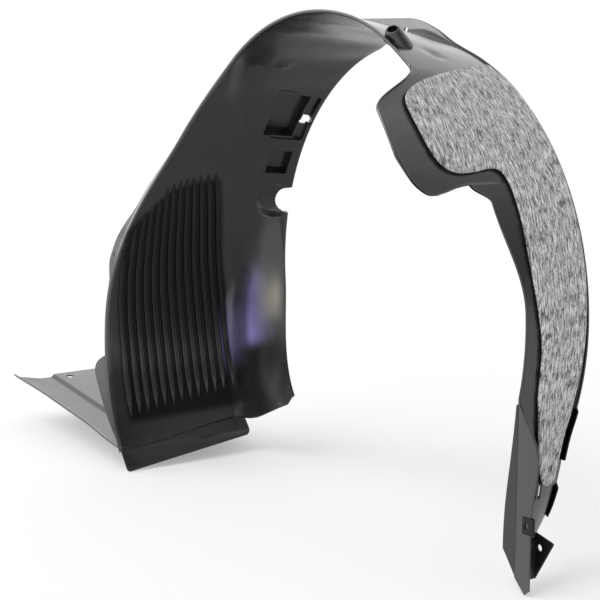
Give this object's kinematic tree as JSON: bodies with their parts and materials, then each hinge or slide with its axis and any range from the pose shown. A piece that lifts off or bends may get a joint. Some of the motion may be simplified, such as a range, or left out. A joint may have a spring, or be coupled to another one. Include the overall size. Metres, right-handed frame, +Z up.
{
  "type": "wheel arch liner",
  "caption": "Moulded plastic wheel arch liner with a ribbed front leg, a front splash plate, a felt pad on the outside of the rear leg, and a foot bracket.",
  "frame": {"origin": "on the floor under the middle of the part's box, with the front leg's flap and the foot standing on Z = 0", "axes": "X along the car with the front leg and splash plate at -X and the rear leg at +X; Y along the wheel axle, from the inboard edge to the fender side edge; Z up"},
  "size_m": [1.2429, 0.2605, 0.7289],
  "materials": {
    "black_plastic": "semi-gloss moulded polypropylene",
    "grey_felt": "needled felt",
    "bracket_plastic": "matt moulded",
    "clip_steel": "phosphated spring steel"
  },
  "bodies": {
    "root": {"liner_shell": "black_plastic", "felt_pad": "grey_felt", "foot_bracket": "bracket_plastic", "nut_clip": "clip_steel"}
  },
  "joints": []
}
